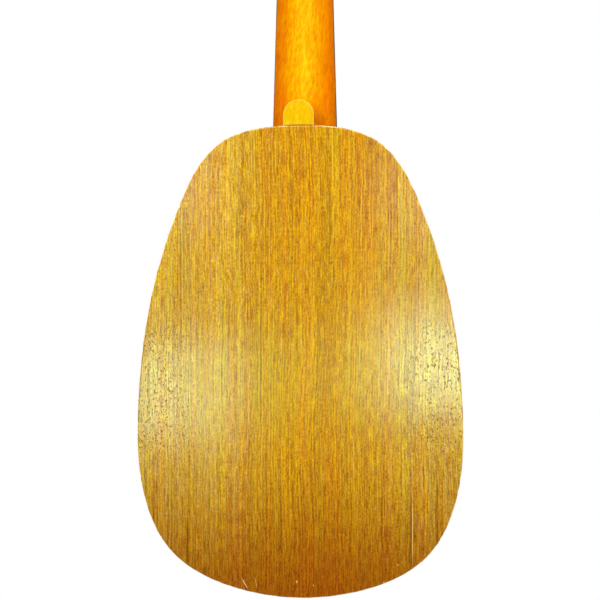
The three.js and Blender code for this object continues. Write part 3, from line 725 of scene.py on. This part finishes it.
def slotted_screw(name, radius, height, material):
    """A domed head with a driver slot across it, its seat at y = 0 and its top at +y."""
    profile = domed_profile(radius, 0.25 * height, height)
    mesh = to_mesh(name, turned(profile, 32), material)
    head = bpy.data.objects.new(name + "_blank", mesh)
    cutter_shape = bmesh.new()
    bmesh.ops.create_cube(cutter_shape, size=1)
    cutter_mesh = bpy.data.meshes.new(name + "_slot")
    cutter_shape.to_mesh(cutter_mesh)
    cutter_shape.free()
    cutter = bpy.data.objects.new(name + "_slot", cutter_mesh)
    cutter.scale = (3 * radius, height, 0.24 * radius)
    cutter.location = (0, height * 1.05, 0)
    for made in (head, cutter):
        bpy.context.scene.collection.objects.link(made)
    cut = head.modifiers.new("slot", "BOOLEAN")
    cut.object = cutter
    cut.operation = "DIFFERENCE"
    cut.solver = "EXACT"
    bpy.context.view_layer.update()
    evaluated = head.evaluated_get(bpy.context.evaluated_depsgraph_get())
    result = bpy.data.meshes.new_from_object(evaluated)
    result.name = name
    for made in (head, cutter):
        bpy.data.objects.remove(made)
    creased(result, CREASE)
    return result


def on_head(x, y, z, turn=0.0):
    """A place in the headstock's own frame, turned about that frame's Y."""
    return HEAD @ Matrix.Translation((x, y, z)) @ Matrix.Rotation(turn, 4, "Y")


def add_screws():
    """One on each tuner's wheel and three on each strip, their slots at odd angles."""
    wheel_screw = slotted_screw("wheel_screw", 2.9 * MM, 1.5 * MM, nickel)
    wood_screw = slotted_screw("wood_screw", 2.1 * MM, 1.2 * MM, nickel)
    for index, string in enumerate(STRINGS):
        turn = 0.5 + 1.9 * index
        place = on_head(string.side * POST_INSET, WHEEL_FACE, string.row, turn)
        name = string.name + "_wheel_screw"
        piece(name, wheel_screw, string.name + "_capstan", place)
    for side, strip in ((-1, "bass"), (1, "treble")):
        for index, row in enumerate(STRIP_SCREW_ROWS):
            turn = 0.8 + 2.3 * index + side
            place = on_head(side * POST_INSET, STRIP_FACE, row, turn)
            piece(f"{strip}_strip_screw_{index + 1}", wood_screw, "instrument", place)


def wire(name, points, radius, material):
    """A curve with the thickness of a wire."""
    curve = bpy.data.curves.new(name, "CURVE")
    curve.dimensions = "3D"
    curve.bevel_depth = radius
    curve.bevel_resolution = 4
    curve.use_fill_caps = True
    spline = curve.splines.new("POLY")
    spline.points.add(len(points) - 1)
    for target, at in zip(spline.points, points):
        target.co = (*at, 1)
    curve.materials.append(material)
    spline.use_smooth = True
    return curve


def winding_points(string):
    """From where the string meets its post, round it towards its top, and in through its eye."""
    points_a_turn = 28
    gap = 0.04 * MM
    rise = POST_EYE - STRING_ARRIVAL
    turns = math.floor(abs(rise) / (2.08 * string.radius)) + 0.5
    steps = int(turns * points_a_turn)
    start = 0.0 if string.side < 0 else math.pi
    reach = POST_WAIST + string.radius + gap
    points = []
    for i in range(steps + 1):
        t = i / steps
        angle = start - string.side * 2 * math.pi * turns * t
        level = STRING_ARRIVAL + rise * t
        points.append((reach * math.cos(angle), level, reach * math.sin(angle)))
    x, y, z = points[-1]
    for share in (0.7, 0.0, -0.8, -1.25):
        points.append((x * share, y, z * share))
    middle = Vector((string.side * POST_INSET, 0, string.row))
    return [HEAD @ (Vector(p) + middle) for p in points]


def add_string_turns():
    for string in STRINGS:
        material, slot = plain_steel, "string_steel"
        if string.name == "bass":
            material, slot = wound_bronze, "bronze_winding"
        name = string.name + "_string_turns"
        curve = wire(name, winding_points(string), string.radius, material)
        piece(name, curve, string.name + "_capstan")


def lower_end(node):
    """The middle of the lowest ring of a string's points."""
    points = [v.co for v in nodes[node].data.vertices]
    lowest = min(at.z for at in points)
    ring = [at for at in points if at.z < lowest + 0.2 * MM]
    return sum(ring, Vector()) / len(ring)


def add_ball_ends():
    """The little brass spools that stop the strings behind the bridge, each with a bore."""
    flange, bore, half = 1.7 * MM, 0.45 * MM, 1.3 * MM
    waist = 0.7 * flange
    profile = [
        (bore, -half),
        (flange, -half),
        (flange, -0.75 * half),
        (waist, -0.35 * half),
        (waist, 0.35 * half),
        (flange, 0.75 * half),
        (flange, half),
        (bore, half),
    ]
    below_string = Vector((0, 0, -1.5 * MM))
    lying = Matrix.Rotation(math.radians(90), 4, "Z")
    for string in STRINGS:
        name = string.name + "_ball_end"
        mesh = to_mesh(name, turned(profile, 28), gear_brass)
        at = lower_end(string.name + "_string") + below_string
        piece(name, mesh, "instrument", Matrix.Translation(at) @ lying)


# Rings along the collar between worm and button: radius, and distance from the post's axis.
COLLAR = [
    (0, 13.7),
    (2.2, 13.7),
    (2.65, 14.0),
    (2.65, 14.7),
    (2.25, 15.0),
    (2.25, 15.3),
    (2.65, 15.6),
    (2.65, 16.4),
    (2.3, 16.9),
    (2.2, 18.5),
    (0, 18.5),
]


def collar_mesh(side):
    shape = turned([(r * MM, h * MM) for r, h in COLLAR], 32)
    outwards = Matrix.Rotation(math.radians(-90 * side), 4, "Z")
    bmesh.ops.transform(shape, matrix=outwards, verts=shape.verts)
    mesh = bpy.data.meshes.new("collar")
    shape.to_mesh(mesh)
    shape.free()
    return mesh


def button_shape(side):
    """An oval button, dished a little for the thumb, on a ringed collar. The worm's axis is X."""
    middle = side * 23.5 * MM
    half_length, half_thickness, half_height = 8.6 * MM, 3.85 * MM, 7.4 * MM
    fullness = 2.6
    dish_depth, dish_reach = 0.16, 0.55
    shape = bmesh.new()
    bmesh.ops.create_uvsphere(shape, u_segments=48, v_segments=28, radius=1)
    for vert in shape.verts:
        x, y, z = vert.co
        reach = math.hypot(x, z)
        thick = 0.0
        if reach < 0.9995:
            full = (1 - reach**fullness) ** (1 / fullness)
            dish = 1 - dish_depth * math.exp(-((reach / dish_reach) ** 2))
            thick = math.copysign(full * dish, y)
        vert.co = (middle + half_length * x, half_thickness * thick, half_height * z)
    collar = collar_mesh(side)
    shape.from_mesh(collar)
    bpy.data.meshes.remove(collar)
    return shape


def add_buttons():
    for string in STRINGS:
        name = string.name + "_button"
        mesh = to_mesh(name, button_shape(string.side), button_plastic, math.radians(50))
        place = on_head(string.side * POST_INSET, WORM_LEVEL, string.row - WORM_DROP)
        button = piece(name, mesh, string.name + "_key", place)
        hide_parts(string.name + "_knob")


def dot(name, radius, at, facing):
    """A round inlay, a hair proud of the wood round it."""
    lift, depth = 0.04 * MM, 0.4 * MM
    profile = [
        (0, -depth),
        (radius, -depth),
        (radius, lift * 0.5),
        (radius * 0.94, lift),
        (0, lift),
    ]
    mesh = to_mesh(name, turned(profile, 36), dot_pearl)
    turn = Vector((0, 1, 0)).rotation_difference(facing).to_matrix().to_4x4()
    piece(name, mesh, "instrument", Matrix.Translation(at) @ turn)


FRETS = ["1", "2", "3", "4", "5", "6", "6_half", "7", "8", "9", "10", "11"]


def fret_middle(number):
    """Half way between a fret and the one before it, up the neck."""
    here = FRETS.index(number)
    low = sum(v[2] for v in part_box("fret_" + FRETS[here])) / 2
    high = sum(v[2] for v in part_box("fret_" + FRETS[here - 1])) / 2
    return (low + high) / 2


def add_dots():
    """On the fingerboard's face and on its bass edge, one or a pair before each marked fret."""
    low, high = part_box("fingerboard")
    nut_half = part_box("nut")[1].x
    for number, sides in (("3", [0]), ("5", [0]), ("7", [-1, 1]), ("10", [0])):
        z = fret_middle(number)
        share = (high.z - z) / (high.z - low.z)
        edge = nut_half + (high.x - nut_half) * share
        for index, side in enumerate(sides):
            on_face = Vector((side * 9 * MM, low.y, z))
            dot(f"face_dot_{number}_{index + 1}", 2.3 * MM, on_face, Vector((0, -1, 0)))
            on_edge = Vector((-edge, low.y + 2.4 * MM, z + side * 3 * MM))
            dot(f"side_dot_{number}_{index + 1}", 0.9 * MM, on_edge, Vector((-1, 0, 0)))


add_screws()
add_string_turns()
add_ball_ends()
add_buttons()
add_dots()


# ---------- camera, lights and floor ----------


def direction(azimuth, elevation):
    """From the object towards a viewer. Azimuth 0 looks along +Y, and 180 at the flat back."""
    a, e = math.radians(azimuth), math.radians(elevation)
    return Vector((math.sin(a) * math.cos(e), -math.cos(a) * math.cos(e), math.sin(e)))


def make_camera():
    """The photograph's view: square on to the back, from a little to one side, the body's foot at
    the bottom of the picture and the neck running out of its top."""
    azimuth, distance = 184.3, 0.6
    half_view = 190.1 * MM
    half_sensor = 18
    target = Vector((-1.1 * MM, BACK_FACE, TAIL + 189.1 * MM))
    data = bpy.data.cameras.new("camera")
    data.sensor_width = 2 * half_sensor
    data.lens = half_sensor / (half_view / distance)
    data.clip_start = 0.01
    data.clip_end = 50
    camera = bpy.data.objects.new("camera", data)
    towards = direction(azimuth, 0)
    camera.location = target + towards * distance
    camera.rotation_euler = towards.to_track_quat("Z", "Y").to_euler()
    bpy.context.scene.collection.objects.link(camera)
    bpy.context.scene.camera = camera


def softbox(name, at, target, width, height, radiance, colour=(1, 1, 1)):
    data = bpy.data.lights.new(name, "AREA")
    data.shape = "RECTANGLE"
    data.size = width
    data.size_y = height
    data.energy = radiance * width * height * math.pi
    data.color = colour
    light = bpy.data.objects.new(name, data)
    light.location = at
    light.rotation_euler = (Vector(at) - Vector(target)).to_track_quat("Z", "Y").to_euler()
    bpy.context.scene.collection.objects.link(light)
    return light


def make_gloss_lamps(body):
    """Small lamps that only the back's gloss shows: two pairs, a faint one between the lower pair,
    and one to the left for the rim."""
    pale_green = (0.6, 1.0, 0.7)
    deep_green = (0.2, 1.0, 0.25)
    lamps = [
        softbox("back_left", (0.37, 1.2, -0.49), body, 0.26, 0.18, 22.0, pale_green),
        softbox("back_middle", (0.06, 1.2, -0.45), body, 0.32, 0.14, 5.0, deep_green),
        softbox("back_right", (-0.22, 1.2, -0.435), body, 0.26, 0.17, 36.0, pale_green),
        softbox("back_left_high", (0.42, 1.2, -0.10), body, 0.30, 0.16, 8.0),
        softbox("back_right_high", (-0.23, 1.2, -0.12), body, 0.34, 0.16, 5.0),
        softbox("rim_light", (1.1, 0.2, 0.25), body, 0.6, 0.6, 26.0),
    ]
    shine = bpy.data.collections.new("shown_in_gloss")
    shine.objects.link(nodes["back_plate"])
    for lamp in lamps:
        lamp.visible_diffuse = False
        lamp.light_linking.receiver_collection = shine


def make_lights():
    body = (0, 0, TAIL + 0.5 * BODY_LENGTH)
    # Behind the instrument, where the photograph was taken from.
    softbox("back_key", (-0.05, 1.3, 0.75), (0, 0, -0.25), 1.3, 0.9, 8.0)
    make_gloss_lamps(body)
    # To each side, for the bent sides and the neck's edges.
    softbox("side_left", (1.4, 0.2, -0.1), body, 0.8, 1.1, 1.8)
    softbox("side_right", (-1.4, 0.2, -0.1), body, 0.8, 1.1, 1.8)
    # In front, so that the strings' side is lit as well.
    softbox("front_key", (-0.7, -1.3, 0.8), (0, 0, -0.15), 1.1, 0.9, 5.4)
    softbox("front_fill", (0.9, -1.2, 0.0), (0, 0, -0.2), 0.8, 1.1, 2.6)
    # Above, for the top edges.
    softbox("overhead", (0, 0.1, 1.3), (0, 0, 0), 1.2, 1.2, 1.8)


def make_world():
    """A pale studio: it lights softly, the camera sees it as white paper, and glossy things see it
    as bright walls, with the dark where the photographer stands."""
    world = bpy.data.worlds.new("studio")
    world.use_nodes = True
    graph = Graph(world.node_tree)
    facing = graph.node("ShaderNodeTexCoord", {}, output="Generated")
    inputs = {"Value": graph.split(facing)[1], "From Min": 0.92, "From Max": 0.6}
    inputs.update({"To Min": 0.12, "To Max": 0.6})
    bright = graph.node("ShaderNodeMapRange", inputs, interpolation_type="SMOOTHSTEP")
    fill = graph.node("ShaderNodeBackground", {"Color": (1, 0.99, 0.97, 1), "Strength": 0.1})
    walls = graph.node("ShaderNodeBackground", {"Color": (1, 0.9, 0.7, 1), "Strength": bright})
    paper = graph.node("ShaderNodeBackground", {"Color": (1, 1, 1, 1), "Strength": 1.0})
    ray = graph.node("ShaderNodeLightPath", {}).node.outputs
    seen = graph.node("ShaderNodeMixShader", {0: ray["Is Glossy Ray"], 1: fill, 2: walls})
    seen = graph.node("ShaderNodeMixShader", {0: ray["Is Camera Ray"], 1: seen, 2: paper})
    graph.node("ShaderNodeOutputWorld", {"Surface": seen}, output=None)
    bpy.context.scene.world = world


def make_floor():
    """A pale floor, well below the instrument, that fades out into the white round it."""
    level, radius = -0.9, 1.15
    fade_from, fade_to = 250 * MM, 1130 * MM
    shape = bmesh.new()
    bmesh.ops.create_circle(shape, cap_ends=True, segments=96, radius=radius)
    mesh = bpy.data.meshes.new("floor")
    shape.to_mesh(mesh)
    shape.free()
    shader = lacquer("pale_floor", 0.7, specular=0.2)
    place = shader.place()
    cloud = shader.noise(place, (0.004, 0.004, 0.004), detail=3)
    shader.feed("Base Color", shader.ramp(cloud, [(0.3, rgb("f0f0ef")), (0.7, rgb("f8f8f7"))]))
    reach = shader.node("ShaderNodeVectorMath", {0: place}, output="Value", operation="LENGTH")
    shader.feed("Alpha", shader.between(reach, fade_to / MM, fade_from / MM))
    mesh.materials.append(shader.material)
    floor = bpy.data.objects.new("floor", mesh)
    floor.location = (0, 0, level)
    bpy.context.scene.collection.objects.link(floor)


make_camera()
make_lights()
make_world()
make_floor()
bpy.context.scene.view_settings.view_transform = "Standard"
bpy.context.scene.view_settings.look = "None"
